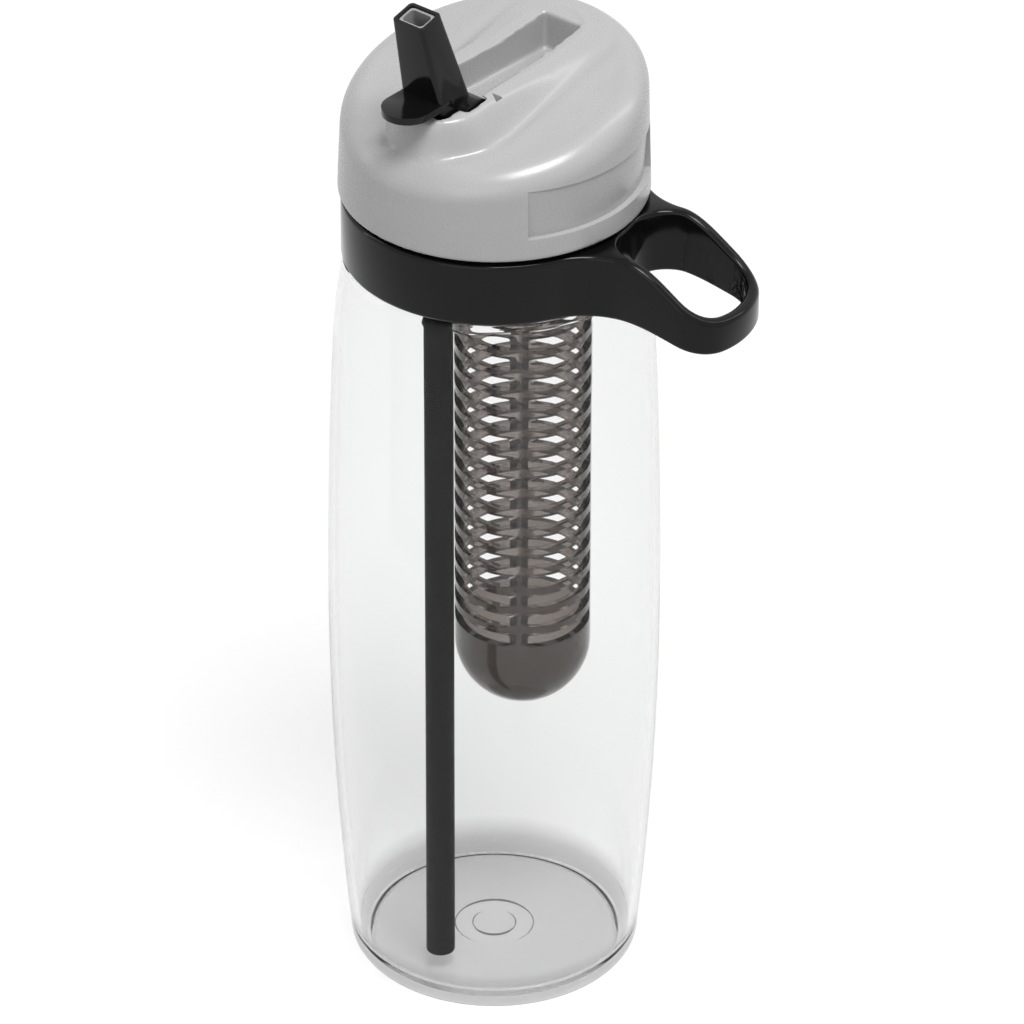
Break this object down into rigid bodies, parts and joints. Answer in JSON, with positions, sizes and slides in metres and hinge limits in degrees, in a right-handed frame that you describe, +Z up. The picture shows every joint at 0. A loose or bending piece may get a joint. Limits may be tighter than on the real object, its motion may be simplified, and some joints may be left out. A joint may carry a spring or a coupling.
{
  "type": "fruit infuser water bottle",
  "caption": "Clear barrel-shaped water bottle with a screw lid, flip-up drinking spout, straw, slotted fruit infuser basket and a carry loop on a neck band.",
  "frame": {"origin": "centre of the bottle's base, on the floor it stands on", "axes": "+Z up along the bottle's axis; the spout stands at -Y and folds back towards +Y; the carry loop rests near +X"},
  "size_m": [0.1108, 0.083, 0.2798],
  "materials": {
    "clear_body": "clear gloss",
    "black_band": "satin",
    "grey_lid": "satin",
    "black_spout": "satin",
    "clear_silicone": "translucent",
    "white_liner": "satin",
    "black_straw": "gloss",
    "smoked_basket": "smoked clear gloss"
  },
  "bodies": {
    "bottle": {"bottle_body": "clear_body"},
    "band": {"carry_band": "black_band"},
    "lid_carrier": {"lid_gasket": "clear_silicone"},
    "lid": {"lid_cap": "grey_lid", "lid_liner": "white_liner", "spout_seal": "clear_silicone", "vent_valve": "clear_silicone", "straw_sleeve": "black_straw", "straw": "black_straw"},
    "spout": {"flip_spout": "black_spout", "spout_liner": "clear_silicone"},
    "infuser": {"infuser_basket": "smoked_basket"}
  },
  "joints": [
    {"name": "band_spin", "type": "hinge", "parent": "bottle", "child": "band", "pos_m": [0, 0, 0.21075], "axis": [0, 0, 1], "continuous": true},
    {"name": "lid_lift", "type": "slide", "parent": "bottle", "child": "lid_carrier", "axis": [0, 0, 1], "range_m": [0, 0.00625]},
    {"name": "lid_turn", "type": "hinge", "parent": "lid_carrier", "child": "lid", "pos_m": [0, 0, 0.2378], "axis": [0, 0, 1], "range_deg": [0, 450]},
    {"name": "spout_flip", "type": "hinge", "parent": "lid", "child": "spout", "pos_m": [0, -0.0172, 0.2492], "axis": [1, 0, 0], "range_deg": [-108, 0]},
    {"name": "infuser_twist", "type": "hinge", "parent": "lid", "child": "infuser", "pos_m": [0, 0.0111, 0.227], "axis": [0, 0, 1], "range_deg": [0, 40]}
  ],
  "couplings": [
    {"joint": "lid_turn", "follows": "lid_lift", "rad_per_m": 1256.6}
  ]
}
